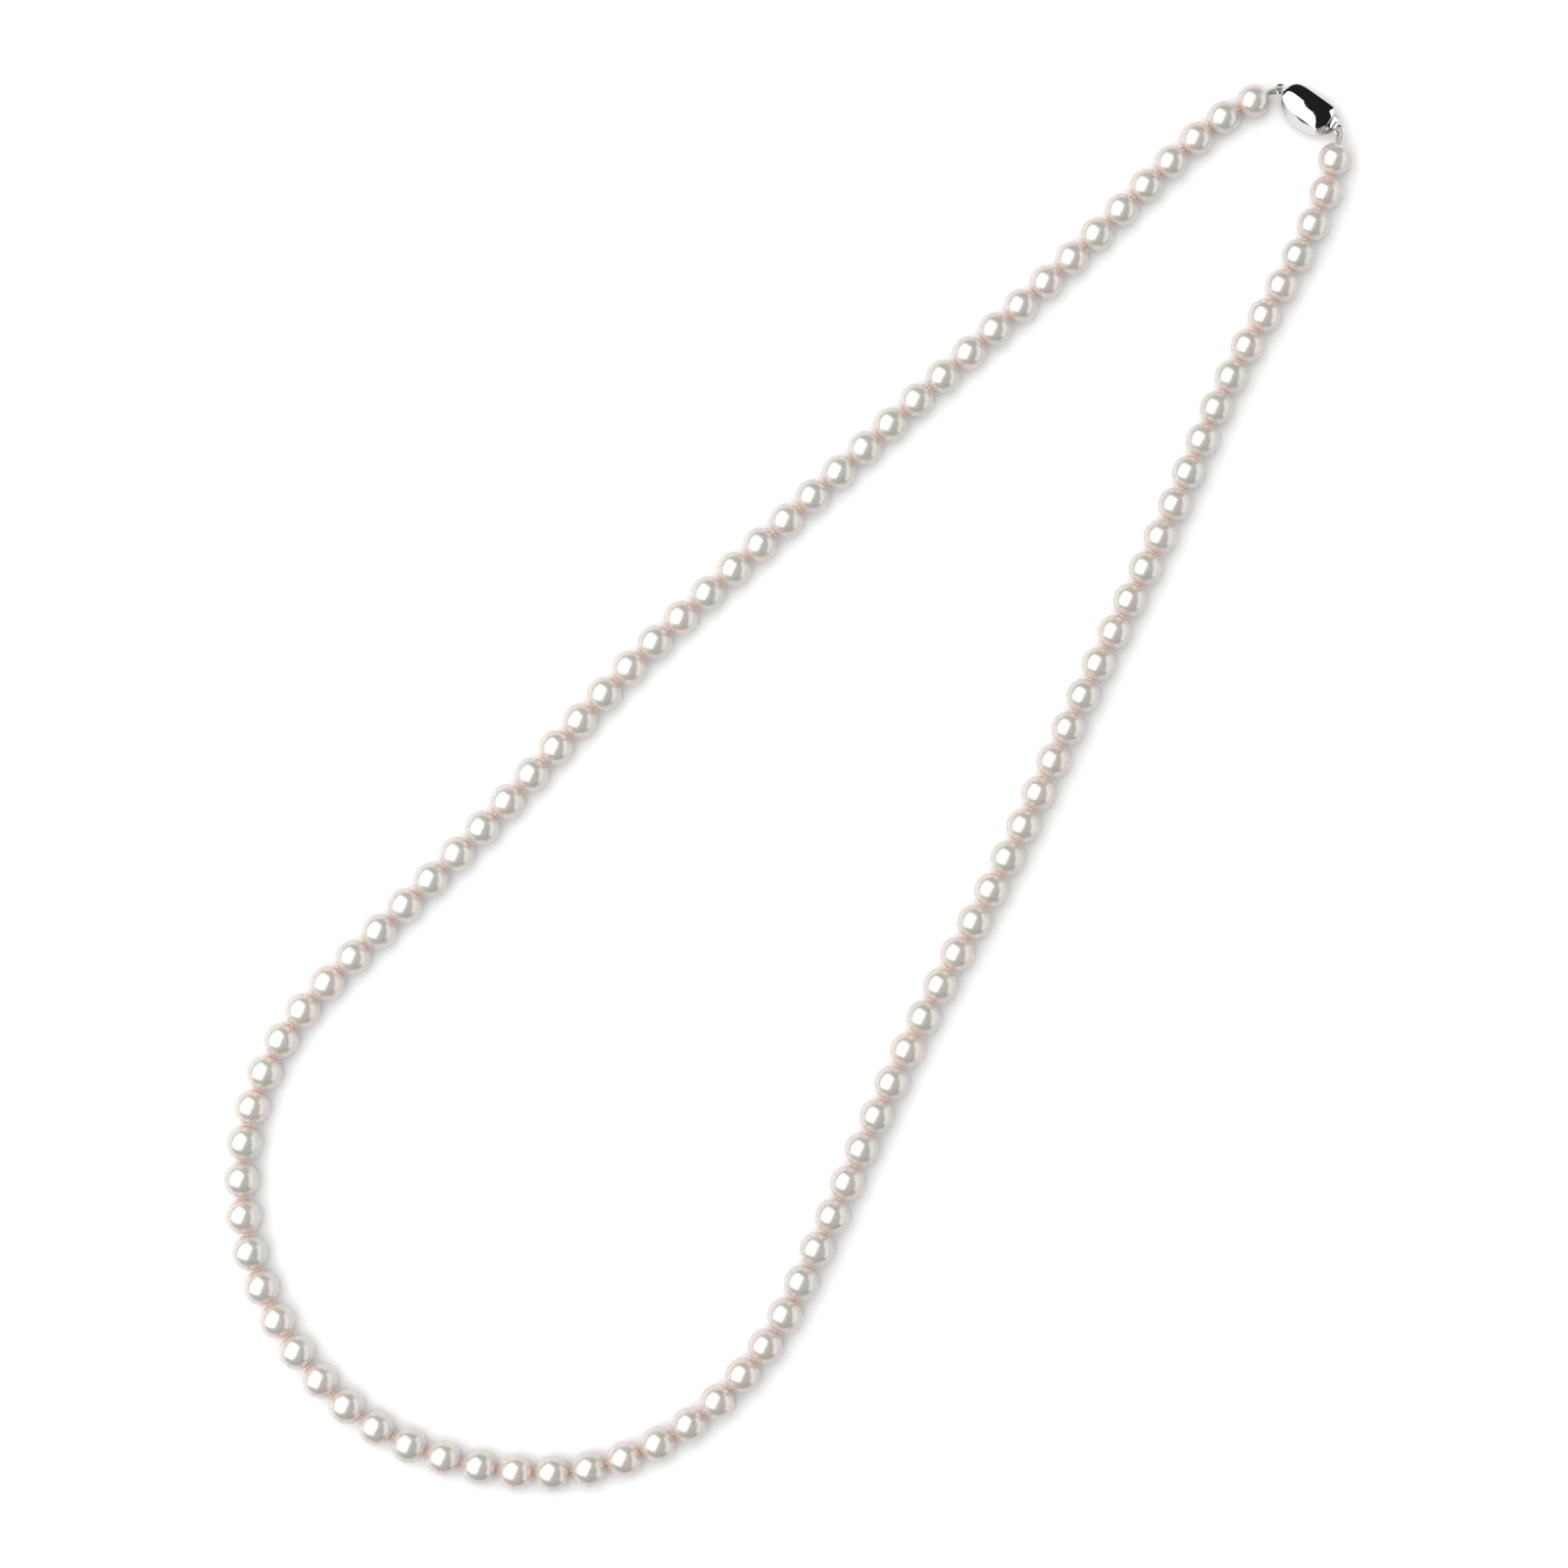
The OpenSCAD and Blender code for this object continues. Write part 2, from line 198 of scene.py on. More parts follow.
def nacre():
    """Nacre. A pearl's attribute of tone and glow has its overtone in red, and in blue how near the drill hole is:
    there a painted glow warms the colour, standing in for the light that the neighbouring pearls throw on it where
    they touch.
    """
    green, rose = (0.42, 0.44, 0.405), (0.47, 0.44, 0.415)
    # The warm colour is painted light: a glow near the drill holes, where light from the neighbouring pearls falls
    # at their contacts
    pale, painted_glow = (0.47, 0.45, 0.42), (0.70, 0.52, 0.45)
    most_pale, most_painted_glow = 0.35, 0.65
    m, tree, shader = material(
        "nacre", Metallic=0.34, IOR=1.9, Coat_Weight=0.15, Coat_Roughness=0.12,
        Subsurface_Weight=0.6, Subsurface_Radius=(1.0, 0.52, 0.4), Subsurface_Scale=4 * MM,
        Sheen_Weight=0.4, Sheen_Roughness=0.35, Sheen_Tint=(1.0, 0.58, 0.48, 1),
    )
    tone_and_glow = tree.nodes.new("ShaderNodeAttribute")
    tone_and_glow.attribute_name = "tone_and_glow"
    split = tree.nodes.new("ShaderNodeSeparateColor")
    tree.links.new(tone_and_glow.outputs["Color"], split.inputs["Color"])
    overtone = mixed(tree, split.outputs["Red"], green, rose)
    cloud = mapped(tree, noise_tex(tree, 420.0, 3.0), 0.0, 1.0, 0.3, 0.7)
    cloudy = mixed(tree, mapped(tree, cloud, 0.0, most_pale), overtone, pale)
    # Painted glow near the drill holes, by the attribute's blue
    colour = mixed(tree, mapped(tree, split.outputs["Blue"], 0.0, most_painted_glow), cloudy, painted_glow)
    tree.links.new(colour, shader.inputs["Base Color"])
    surface = noise_tex(tree, 2600.0, 4.0, 0.6)
    tree.links.new(mapped(tree, surface, 0.15, 0.24), shader.inputs["Roughness"])
    bump(tree, shader, surface, 0.006 * MM, 0.5)
    return m


def silk():
    m, tree, shader = material("silk", Roughness=0.55, Sheen_Weight=0.4, Sheen_Roughness=0.3)
    fibre = noise_tex(tree, 9000.0, 3.0, 0.7)
    colour = mixed(tree, fibre, (0.80, 0.76, 0.70), (0.94, 0.92, 0.88))
    tree.links.new(colour, shader.inputs["Base Color"])
    bump(tree, shader, fibre, 0.02 * MM, 0.6)
    return m


def metal(name, dark, light, rough, grain, depth):
    """Polished or satin metal, with a little variation of tone, and fine wear in its gloss."""
    m, tree, shader = material(name, Metallic=1.0)
    tint = noise_tex(tree, 160.0, 2.0)
    tree.links.new(mixed(tree, tint, dark, light), shader.inputs["Base Color"])
    wear = noise_tex(tree, grain, 5.0, 0.65)
    tree.links.new(mapped(tree, wear, *rough, 0.3, 0.75), shader.inputs["Roughness"])
    bump(tree, shader, wear, depth, 0.4)
    return m


NACRE = nacre()
SILK = silk()
SILVER = metal("silver", (0.62, 0.62, 0.605), (0.70, 0.70, 0.69), (0.02, 0.07), 1500.0, 0.0004 * MM)
WIRE = metal("french_wire", (0.50, 0.50, 0.485), (0.66, 0.66, 0.65), (0.08, 0.2), 4000.0, 0.002 * MM)
STRIP = metal("spring_strip", (0.72, 0.71, 0.69), (0.84, 0.83, 0.81), (0.22, 0.38), 2200.0, 0.002 * MM)


# ---------------------------------------------------------------- the pearls

def solids(node):
    """The points of each separate solid of a CAD node."""
    mesh = frame["nodes"][node].data
    co = np.zeros(len(mesh.vertices) * 3)
    mesh.vertices.foreach_get("co", co)
    co = co.reshape(-1, 3)
    ends = np.zeros(len(mesh.edges) * 2, int)
    mesh.edges.foreach_get("vertices", ends)
    # Vertices at one place count as one, and each takes the lowest number that its edges lead to
    _, label = np.unique(np.round(co, 7), axis=0, return_inverse=True)
    label = label.ravel()
    a, b = label[ends.reshape(-1, 2)].T
    group = np.arange(label.max() + 1)
    while True:
        low = np.minimum(group[a], group[b])
        new = group.copy()
        np.minimum.at(new, a, low)
        np.minimum.at(new, b, low)
        new = new[new]
        if (new == group).all():
            break
        group = new
    group = group[label]
    return [co[group == g] for g in np.unique(group)]


def ball(points):
    """Centre and radius of the sphere that points lie on."""
    a = np.hstack([2 * points, np.ones((len(points), 1))])
    x = np.linalg.lstsq(a, (points ** 2).sum(1), rcond=None)[0]
    return x[:3], math.sqrt(x[3] + (x[:3] ** 2).sum())


def strand():
    """(node, centre, radius) of each pearl, in order from the clasp's left end."""
    left = [(n, *ball(p)) for n in sorted(frame["nodes"]) if n.endswith("_pearls") for p in solids(n)]
    at = np.array(JOINT["clasp_roll"]["pos_m"])
    order = []
    while left:
        k = min(range(len(left)), key=lambda i: np.linalg.norm(left[i][1] - at))
        order.append(left.pop(k))
        at = order[-1][1]
    return order


def gap_points():
    """The middle of each gap between pearls, and the mouth of each end pearl's drill hole."""
    gaps = []
    for (_, c0, r0), (_, c1, r1) in zip(PEARLS, PEARLS[1:]):
        d = np.linalg.norm(c1 - c0)
        gaps.append(c0 + (c1 - c0) * (r0 + (d - r0 - r1) / 2) / d)
    return [2 * PEARLS[0][1] - gaps[0], *gaps, 2 * PEARLS[-1][1] - gaps[-1]]


PEARLS = strand()
GAPS = gap_points()
HOLE_R = 0.4 * MM
HOLE_EASE = 0.07 * MM
HOLE_WALL = 0.6 * MM  # from a hole's mouth to the first ring of points inside it
AROUND, OVER = 44, 26  # points round a pearl, and from one hole to the other
OUT_OF_ROUND = (0.003, 0.011)  # shares of the radius
LUMPS = 1.1  # lumps of noise in one radius
NEAR_HOLE, NEAR_HOLE_RUN = 0.66, 0.3  # where the painted glow near the drill hole starts, and its run, in shares of the radius


def drilled_pearl(centre, r, axis, rng):
    """One pearl: a ball that is a hair out of round, with a drill hole whose mouths are eased."""
    lip = math.asin((HOLE_R + HOLE_EASE) / r)
    profile = [(r * math.sin(a), r * math.cos(a)) for a in np.linspace(lip, math.pi - lip, OVER)]
    z = r * math.cos(math.asin(HOLE_R / r))
    top = [
        (HOLE_R, z - HOLE_WALL), (HOLE_R, z - HOLE_EASE), (HOLE_R + 0.3 * HOLE_EASE, z - 0.2 * HOLE_EASE),
    ]
    profile = np.array(top + profile + [(x, -y) for x, y in reversed(top)])
    a = around(AROUND)
    x = profile[:, 0][:, None] * np.cos(a)
    y = profile[:, 0][:, None] * np.sin(a)
    zz = np.repeat(profile[:, 1][:, None], AROUND, 1)
    pts = np.stack([x, y, zz], -1).reshape(-1, 3)
    shape = rng.uniform(*OUT_OF_ROUND)
    seed = Vector((rng.uniform(0, 90), rng.uniform(0, 90), rng.uniform(0, 90)))
    outside = np.linalg.norm(pts, axis=1) > 0.99 * r
    pull = np.array([
        shape * (0.5 + 0.5 * noise.noise(Vector(p / r * LUMPS) + seed)) if s else 0
        for p, s in zip(pts, outside)
    ])
    pts *= (1 - np.clip(pull, 0, 0.02))[:, None]
    turn = np.array(Vector(UP).rotation_difference(Vector(axis)).to_matrix())
    return pts @ turn.T + centre, [tuple(f) for f in grid_faces(len(profile), AROUND, True)[:, ::-1]]


def make_pearls():
    rng = random.Random(11)
    members = {}
    for k, (node, centre, r) in enumerate(PEARLS):
        axis = GAPS[k + 1] - GAPS[k]
        axis /= np.linalg.norm(axis)
        part = drilled_pearl(centre, r, axis, rng)
        along = np.abs((part[0] - centre) @ axis) / r
        tone_and_glow = np.tile([rng.random(), rng.random(), 0.0, 1.0], (len(along), 1))
        # Blue marks where the painted glow goes, near the drill holes, for the light that neighbouring pearls
        # throw on each other
        tone_and_glow[:, 2] = np.clip((along - NEAR_HOLE) / NEAR_HOLE_RUN, 0, 1)
        members.setdefault(node, []).append((part, tone_and_glow))
    for node, items in members.items():
        obj = new_object(node.replace("_pearls", "_pearl_row"), *join([p for p, _ in items]))
        layer = obj.data.attributes.new("tone_and_glow", "FLOAT_COLOR", "POINT")
        layer.data.foreach_set("color", np.concatenate([t for _, t in items]).ravel())
        finish_piece(obj, NACRE, node)


# ---------------------------------------------------------------- the silk thread

PLY_R = 0.135 * MM
PLY_SIDES = 7
PLY_PITCH = 1.3 * MM
THREAD_STOP = 0.2 * MM  # each stretch's thread ends this far before the middle of its last gap


def twisted(path, step=0.25 * MM, up=UP):
    """Two plies of thread twisted round each other along a path."""
    line, s = resample(path, step)
    return [
        tube(helix(line, s, PLY_R, PLY_PITCH, phase, up), PLY_R, PLY_SIDES, up)
        for phase in (0, math.pi)
    ]


def make_threads():
    for node in dict.fromkeys(p[0] for p in PEARLS):
        ks = [k for k, p in enumerate(PEARLS) if p[0] == node]
        line = [GAPS[k] for k in range(ks[0], ks[-1] + 2)]
        end = line[-1] - line[-2]
        line[-1] = line[-1] - end / np.linalg.norm(end) * THREAD_STOP
        obj = new_object(node.replace("_pearls", "_silk"), *join(twisted(line)))
        finish_piece(obj, SILK, node.replace("_pearls", "_thread"))


# ---------------------------------------------------------------- the clasp

U = np.array(JOINT["clasp_roll"]["axis"])
V = np.array(JOINT["thumb_press"]["axis"])
W = np.cross(U, V)
LEFT_RING = np.array(JOINT["clasp_roll"]["pos_m"])
RIGHT_RING = np.array(JOINT["right_loop_swing"]["pos_m"])
CLASP = (LEFT_RING + RIGHT_RING) / 2

# In the clasp's own millimetres: x runs to the right ring, y across, and z up through the crown
RING_R, RING_WIRE_R = 0.95, 0.25
RING_OVERLAP = 0.1
RING_POINTS, RING_SIDES = 60, 18
HALF_L = np.linalg.norm(RIGHT_RING - LEFT_RING) / 2 / MM - RING_R + RING_OVERLAP

# The case: widest level, crowned face, crown and belly
WIDE_HALF, WIDE_DEPTH = 4.7, 1.4
PLAN_OVER, PLAN_POWER = 0.2, 0.58
FACE_HALF, FACE_LEFT, FACE_SHARE = 3.45, 2.5, 0.95
NARROWS = 3.6
FACE_X = [NARROWS, 4.6, HALF_L - 0.8, HALF_L]
FACE_Y = [FACE_HALF, 1.8, 1.35, 0.45]
TIP_H, TIP_OVER = 0.9, 0.1
CROWN_RISE, CROWN_POWER, CROWN_R = 1.7, 4.2, 6.2
BELLY_H, BELLY_FLAT, BELLY_SHARE = 1.9, 5, 0.7
LEAST = 0.1  # least half width of a section
EASE, BULGE, CORNER = 0.16, 0.25, 0.25
WALL_POINTS, CROWN_POINTS = 9, 14
WALL, END_WALL = 0.45, 0.7
MOUTH = 4.9
RIM = ((0.015, 0.015), (0, 0.05), (0, 0.40), (0.04, WALL))  # back from the mouth, and drawn in

# End cap, with its pocket below the thumb tab
SEAM = 0.06
CAP_SHARES = np.array([0, 0.01, 0.03, 0.1, 0.2, 0.35, 0.5, 0.65, 0.8, 0.9, 0.97, 1])
CAP_INSETS = [0.05, 0.015] + [0] * 10
CAP_WALL = 0.55
POCKET_HALF, POCKET_FLOOR, POCKET_TOP = 1.6, -0.1, 4

# Back plate and thumb tab
BASE_END, BASE_INSET, BASE_EASE = 4.8, 0.05, 0.1
BASE_TOP, BASE_BOTTOM = -1.92, -2.32
TAB_START, TAB_END = MOUTH + 0.07, MOUTH + 1.2
TAB_HALF, TAB_INSET, TAB_BOTTOM, TAB_EASE = 1.44, 0.02, 1.08, 0.09
SHARP = math.radians(38)


def on_clasp(points):
    """From the clasp's own millimetres to the row frame."""
    p = np.asarray(points, float) * MM
    return CLASP + p[:, :1] * U + p[:, 1:2] * V + p[:, 2:3] * W


def plan_share(x):
    return 1 - (x / (HALF_L + PLAN_OVER)) ** 2


def wide_half(x):
    """Half width of the case at its widest level."""
    return WIDE_HALF * plan_share(x) ** PLAN_POWER


def wide_z(x):
    """Height of that level, which is lowest in the middle of the clasp."""
    return -WIDE_DEPTH * plan_share(x)


def face_half(x):
    """Half width of the crowned face: round at the left, straight, then drawn in to the thumb tab."""
    if x < -FACE_LEFT:
        share = max(0, 1 - ((x + FACE_LEFT) / (HALF_L + TIP_OVER - FACE_LEFT)) ** 2)
        raw = FACE_HALF * math.sqrt(share)
    else:
        raw = float(np.interp(x, FACE_X, FACE_Y))
    return min(raw, FACE_SHARE * wide_half(x))


def crown_z(x):
    return TIP_H + CROWN_RISE * (1 - abs(x / (HALF_L + TIP_OVER)) ** CROWN_POWER)


def sag(y):
    """How far the crown has come down at y from its top line."""
    return CROWN_R - np.sqrt(CROWN_R ** 2 - y * y)


def belly_z(x):
    """Depth of the underside, which rises by a millimetre to each end."""
    return BELLY_H - max(0, abs(x) - BELLY_FLAT) ** 2 / (HALF_L - BELLY_FLAT) ** 2


def rounded(outline, rounds=2):
    """Cuts the corners of a closed outline, which keeps inside it."""
    for _ in range(rounds):
        after = np.roll(outline, -1, axis=0)
        one, two = (1 - CORNER) * outline + CORNER * after, CORNER * outline + (1 - CORNER) * after
        outline = np.stack([one, two], 1).reshape(-1, 2)
    return outline


def section(x, t):
    """Cross-section of the clasp's case at x, drawn in by t, anticlockwise from its widest point."""
    m = max(wide_half(x) - t, LEAST)
    w = wide_z(x)
    f = min(max(face_half(x) - t, LEAST), FACE_SHARE * m)
    e = crown_z(x) - sag(face_half(x)) - t
    b = min(max(BELLY_SHARE * wide_half(x) - t, LEAST), FACE_SHARE * m)
    low = belly_z(x) - t
    a = np.linspace(0, math.pi / 2, WALL_POINTS)
    k = np.linspace(0, 1, WALL_POINTS)
    # The wall is mostly straight, with a slight bulge
    y = f + (m - f) * ((1 - BULGE) * (1 - k) + BULGE * np.cos(a))
    z = w + (e - w) * ((1 - BULGE) * k + BULGE * np.sin(a))
    # The edge between wall and crown is eased, by leaving its corner out
    ease = min(EASE, 0.3 * f, 0.3 * (m - f) + 0.02)
    side = np.stack([y, z], 1)
    away = side[-2] - side[-1]
    reach = np.linalg.norm(away)
    side = np.concatenate([side[:-1], [side[-1] + away / reach * min(ease, reach / 2)]])
    ys = np.concatenate([[f], np.linspace(f - ease, 0, CROWN_POINTS)])
    crown = np.stack([ys, e + sag(f) - sag(ys)], 1)
    under = np.stack([b + (m - b) * np.cos(a[1:]), w - (low + w) * np.sin(a[1:])], 1)
    right = np.concatenate([side, crown])
    left = right[-2::-1] * [-1, 1]
    return rounded(np.concatenate([right, left, under * [-1, 1], under[::-1]]))


def case_ring(x, t):
    s = section(x, t)
    return np.column_stack([np.full(len(s), x), s])


def skin(rings):
    """One closed skin through rings of points, with a fan at each end."""
    n = len(rings[0])
    count = len(rings)
    points = np.concatenate([*rings, [rings[0].mean(0)], [rings[-1].mean(0)]])
    faces = [tuple(f) for f in grid_faces(count, n)[:, ::-1]]
    faces += [(count * n, j, (j + 1) % n) for j in range(n)]
    last = (count - 1) * n
    faces += [(count * n + 1, last + (j + 1) % n, last + j) for j in range(n)]
    return points, faces


def shell():
    """The case: outer skin, mouth rim and the space inside, as one closed skin."""
    t = np.linspace(0, math.pi / 2, 30)
    rounding = -HALF_L + (HALF_L + NARROWS) * (1 - np.cos(t))
    # Both runs have a ring of points at NARROWS
    outer = np.concatenate([rounding, np.linspace(NARROWS, MOUTH - 0.05, 14)])
    inner = np.linspace(MOUTH - 0.4, END_WALL - HALF_L, 16)
    rings = [case_ring(x, 0) for x in outer]
    rings += [case_ring(MOUTH - back, inset) for back, inset in RIM]
    rings += [case_ring(x, WALL) for x in inner]
    return skin(rings)


def slab(outline, top, bottom, ease):
    """A flat piece with eased edges: its outline, and its heights as functions of x and y."""
    middle = outline.mean(0)
    reach = np.linalg.norm(outline - middle, axis=1)[:, None]

    def ring(inset, height, lift):
        p = middle + (outline - middle) * (1 - inset / reach)
        return np.column_stack([p, [height(x, y) + lift for x, y in p]])

    turn = np.linspace(0, math.pi / 2, 4)
    rings = [ring(ease * (1 - math.sin(a)), bottom, ease * (1 - math.cos(a))) for a in turn]
    rings += [ring(ease * (1 - math.cos(a)), top, -ease * (1 - math.sin(a))) for a in turn]
    for k in (0.8, 0.6, 0.4, 0.2):
        q = middle + (outline - middle) * (1 - ease / reach) * k
        rings.append(np.column_stack([q, [top(x, y) for x, y in q]]))
    points, faces = skin(rings)
    return points, [f[::-1] for f in faces]


def clasp_part(name, points, faces, node):
    obj = new_object(name, on_clasp(points), faces)
    work = bmesh.new()
    work.from_mesh(obj.data)
    bmesh.ops.recalc_face_normals(work, faces=work.faces)
    work.to_mesh(obj.data)
    work.free()
    obj.data.set_sharp_from_angle(angle=SHARP)
    finish_piece(obj, SILVER, node)


def cut(points, faces, low, high):
    """A mesh with a box taken out of it, from the box's lowest and highest corners."""
    corners = [tuple(np.where(np.array(k), high, low)) for k in np.ndindex(2, 2, 2)]
    box_faces = [(0, 1, 3, 2), (4, 6, 7, 5), (0, 4, 5, 1), (2, 3, 7, 6), (0, 2, 6, 4), (1, 5, 7, 3)]
    whole = new_object("cut_whole", points, faces)
    tool = new_object("cut_tool", corners, box_faces)
    step = whole.modifiers.new("cut", "BOOLEAN")
    step.operation = "DIFFERENCE"
    step.solver = "EXACT"
    step.object = tool
    bpy.context.view_layer.update()
    done = whole.evaluated_get(bpy.context.evaluated_depsgraph_get()).to_mesh()
    result = [tuple(v.co) for v in done.vertices], [tuple(f.vertices) for f in done.polygons]
    for obj in (whole, tool):
        bpy.data.objects.remove(obj)
    return result


def plan_outline(x0, x1, half, n):
    """An outline that is the same on both sides of the clasp's length, from its half width."""
    xs = x0 + (x1 - x0) * (1 - np.cos(np.linspace(0, math.pi, n))) / 2
    one_side = np.column_stack([xs, [half(x) for x in xs]])
    return rounded(np.concatenate([one_side[::-1], one_side * [1, -1]]), 1)


def ring_mesh(at):
    a = np.linspace(0, 2 * math.pi, RING_POINTS + 1)[:-1]
    b = np.linspace(0, 2 * math.pi, RING_SIDES + 1)[:-1]
    r = RING_R + RING_WIRE_R * np.cos(b)[None, :]
    x = at + r * np.cos(a)[:, None]
    y = r * np.sin(a)[:, None]
    z = np.repeat(RING_WIRE_R * np.sin(b)[None, :], len(a), 0)
    faces = grid_faces(RING_POINTS, RING_SIDES, True)[:, ::-1]
    return np.stack([x, y, z], -1).reshape(-1, 3), [tuple(f) for f in faces]


def make_clasp():
    clasp_part("pillow_case", *shell(), "clasp_housing")
    flat = plan_outline(-BELLY_FLAT, BASE_END, lambda x: BELLY_SHARE * wide_half(x) - BASE_INSET, 40)
    plate = slab(flat, lambda x, y: BASE_TOP, lambda x, y: BASE_BOTTOM, BASE_EASE)
    clasp_part("back_plate", *plate, "clasp_base")
    xs = MOUTH + SEAM + (HALF_L - MOUTH - SEAM) * CAP_SHARES
    cap = skin([case_ring(x, t) for x, t in zip(xs, CAP_INSETS)])
    pocket = (MOUTH - 1, -POCKET_HALF, POCKET_FLOOR), (HALF_L - CAP_WALL, POCKET_HALF, POCKET_TOP)
    clasp_part("end_cap", *cut(*cap, *pocket), "tongue_end_cap")
    outline = plan_outline(TAB_START, TAB_END, lambda x: min(TAB_HALF, face_half(x) - TAB_INSET), 24)
    tab = slab(outline, lambda x, y: crown_z(x) - sag(y), lambda x, y: TAB_BOTTOM, TAB_EASE)
    clasp_part("press_tab", *tab, "thumb_tab")
    clasp_part("left_clasp_ring", *ring_mesh(-HALF_L - RING_R + RING_OVERLAP), "housing_ring")
    clasp_part("right_clasp_ring", *ring_mesh(HALF_L + RING_R - RING_OVERLAP), "tongue_ring")


# ---------------------------------------------------------------- loops at the ends

LEAN = math.radians(20)
LOOP_R = 1.0 * MM
LOOP_STEP = 0.12 * MM
LEG_SPREAD = 0.36 * MM  # from the middle of the drill hole's mouth to each leg's end
LEG_STOP = 0.05 * MM
COIL_R, COIL_PITCH, COIL_STEP = 0.31 * MM, 0.2 * MM, 0.02 * MM
COIL_WIRE_R, COIL_WIRE_SIDES = 0.085 * MM, 6


def loop_path(ring, mouth):
    """The points of a drop-shaped loop that hangs leaning in a ring, with both its legs at a
    pearl's drill hole, and the direction square to its plane."""
    way = mouth - ring
    way[2] = 0
    way /= np.linalg.norm(way)
    a, b = way @ U, way @ V
    c = ring + RING_R * MM / math.hypot(a, b) * (a * U + b * V)
    x = mouth - c
    length = np.linalg.norm(x) - LEG_STOP
    x /= np.linalg.norm(x)
    side = np.cross(UP, x)
    side /= np.linalg.norm(side)
    z = np.cross(x, side)
    lean = LEAN if x @ U < 0 else -LEAN
    z, side = z * math.cos(lean) - side * math.sin(lean), side * math.cos(lean) + z * math.sin(lean)
    far = math.hypot(length, LEG_SPREAD)
    start = math.atan2(LEG_SPREAD, length) + math.acos(LOOP_R / far)
    turn = np.linspace(start, 2 * math.pi - start, 40)
    arc = [(LOOP_R * math.cos(t), LOOP_R * math.sin(t)) for t in turn]
    flat = [(length, LEG_SPREAD), *arc, (length, -LEG_SPREAD)]
    return np.array([c + p * x + q * z for p, q in flat]), side


def make_loop(name, ring, mouth):
    path, side = loop_path(ring, mouth)
    thread = new_object(name + "_silk_loop", *join(twisted(path, LOOP_STEP, side)))
    finish_piece(thread, SILK, name + "_thread_loop")
    line, s = resample(path, COIL_STEP)
    coil = helix(line, s, COIL_R, COIL_PITCH, 0, side)
    wire = new_object(name + "_wire_coil", *tube(coil, COIL_WIRE_R, COIL_WIRE_SIDES, side))
    finish_piece(wire, WIRE, name + "_french_wire")


# ---------------------------------------------------------------- the rest of the CAD nodes

def finish_cad():
    """The catch plate and the two strips of the tongue keep their CAD meshes."""
    kinds = {"silver": SILVER, "spring_strip": STRIP}
    slots = {s["node"]: s["material_slot"] for s in frame["record"]["subparts"]}
    for name, obj in frame["nodes"].items():
        if not obj.hide_render:
            obj.data.materials.clear()
            obj.data.materials.append(kinds[slots[name]])


# ---------------------------------------------------------------- floor, lights and camera

FLOOR_HALF = 6.0
FLOOR_DROP = 0.02 * MM
SOFTBOX_WAY, SOFTBOX_FAR = (-0.70, 0.20, 1.0), 0.84
SOFTBOX_LEVEL, SOFTBOX_TURN = (0.819, 0.0, 0.574), 0.42
VIEW_WIDTH = 0.3397  # what the camera sees across, at the height of the strand's middle
STRAND_MIDDLE = 3.9 * MM
CAMERA_SHIFT = 0.7 * MM


def make_floor():
    corners = [(x * FLOOR_HALF, y * FLOOR_HALF, 0) for x, y in ((-1, -1), (1, -1), (1, 1), (-1, 1))]
    obj = new_object("floor", corners, [(0, 1, 2, 3)])
    obj.location.z = -FLOOR_DROP
    m, tree, shader = material("floor", Roughness=0.8, Specular_IOR_Level=0.2)
    colour = mixed(tree, noise_tex(tree, 6.0, 3.0), (0.645, 0.645, 0.647), (0.665, 0.665, 0.665))
    tree.links.new(colour, shader.inputs["Base Color"])
    obj.data.materials.append(m)


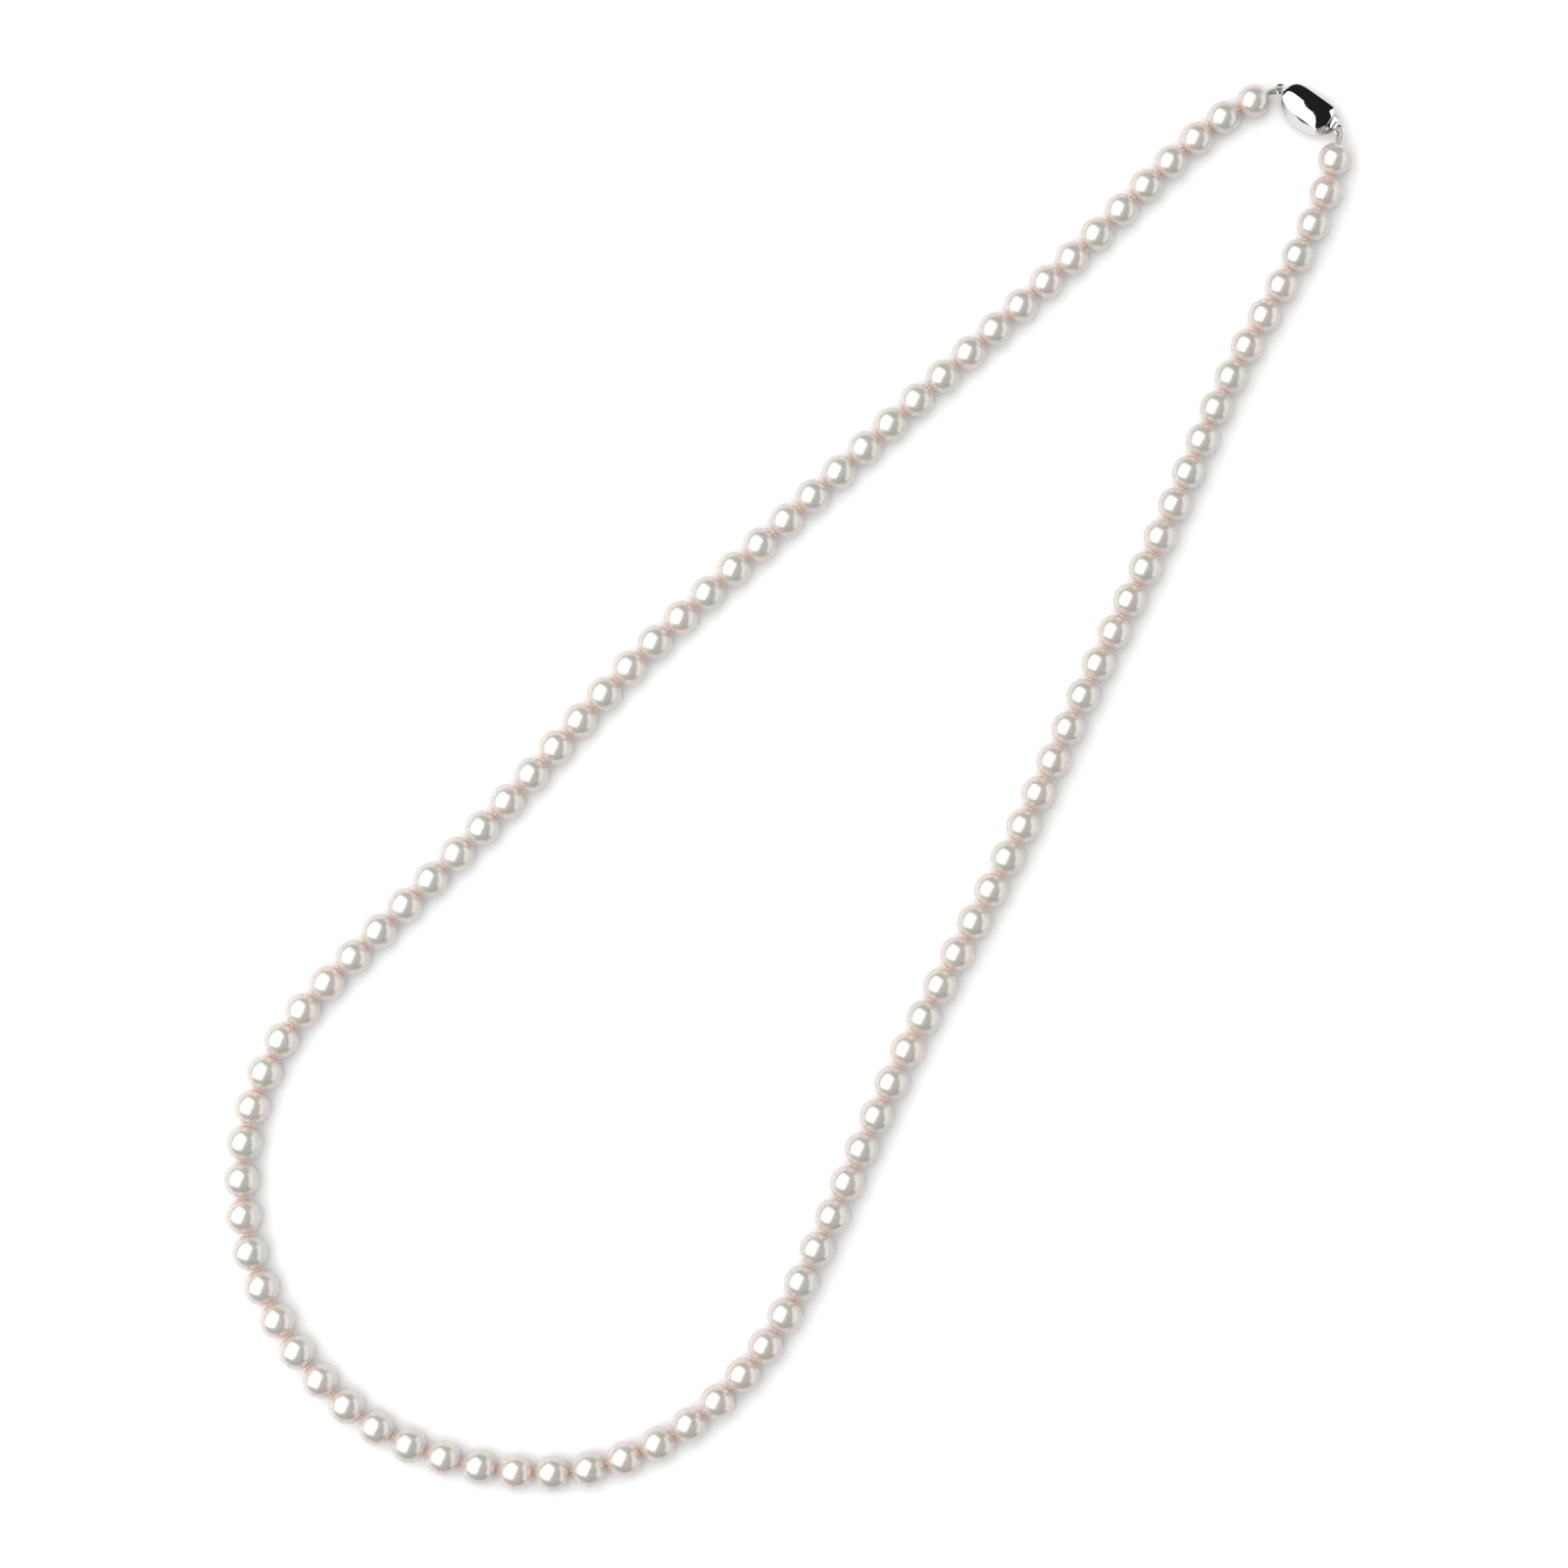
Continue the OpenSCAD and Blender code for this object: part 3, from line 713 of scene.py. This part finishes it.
def panel(name, centre, across, upward, size, radiance):
    """A flat soft light, from its middle, its two directions and its size.
    It shines against across x upward."""
    data = bpy.data.lights.new(name, "AREA")
    data.shape = "RECTANGLE"
    data.size, data.size_y = size
    data.energy = radiance * math.pi * size[0] * size[1]
    obj = bpy.data.objects.new(name, data)
    x = Vector(across).normalized()
    z = x.cross(Vector(upward)).normalized()
    y = z.cross(x)
    turn = Matrix((x, y, z)).transposed().to_4x4()
    obj.matrix_world = Matrix.Translation(centre) @ turn
    obj.visible_camera = False
    bpy.context.scene.collection.objects.link(obj)
    return obj


def make_lights():
    toward = Vector(SOFTBOX_WAY).normalized()
    level = Vector(SOFTBOX_LEVEL)
    upward = toward.cross(level)
    across = level * math.cos(SOFTBOX_TURN) - upward * math.sin(SOFTBOX_TURN)
    upward = upward * math.cos(SOFTBOX_TURN) + level * math.sin(SOFTBOX_TURN)
    panel("softbox", SOFTBOX_FAR * toward, across, upward, (1.44, 2.02), 2.7)
    panel("card", (1.4, -0.1, 0.5), (0.0, 1.0, 0.0), (0.0, 0.0, 1.0), (2.8, 0.98), 1.6)
    # The fill doesn't show in reflections, so that the black zone on the clasp stays dark
    fill = panel("fill", (0.2, -0.1, 1.25), (1.0, 0.0, 0.0), (0.0, 1.0, 0.0), (2.6, 2.6), 1.1)
    fill.visible_glossy = False
    world = bpy.data.worlds.new("studio")
    world.use_nodes = True
    world.node_tree.nodes["Background"].inputs["Color"].default_value = (0.02, 0.02, 0.019, 1)
    world.node_tree.nodes["Background"].inputs["Strength"].default_value = 1.0
    bpy.context.scene.world = world


def make_camera():
    lo, hi = cad_box
    data = bpy.data.cameras.new("camera")
    data.lens = 120
    data.sensor_width = 36
    obj = bpy.data.objects.new("camera", data)
    height = STRAND_MIDDLE + VIEW_WIDTH * data.lens / data.sensor_width
    obj.location = ((lo.x + hi.x) / 2 - CAMERA_SHIFT, (lo.y + hi.y) / 2 + CAMERA_SHIFT, height)
    bpy.context.scene.collection.objects.link(obj)
    bpy.context.scene.camera = obj
    bpy.context.scene.view_settings.view_transform = "Standard"


make_pearls()
make_threads()
make_clasp()
make_loop("left", LEFT_RING, GAPS[0])
make_loop("right", RIGHT_RING, GAPS[-1])
finish_cad()
make_floor()
make_lights()
make_camera()
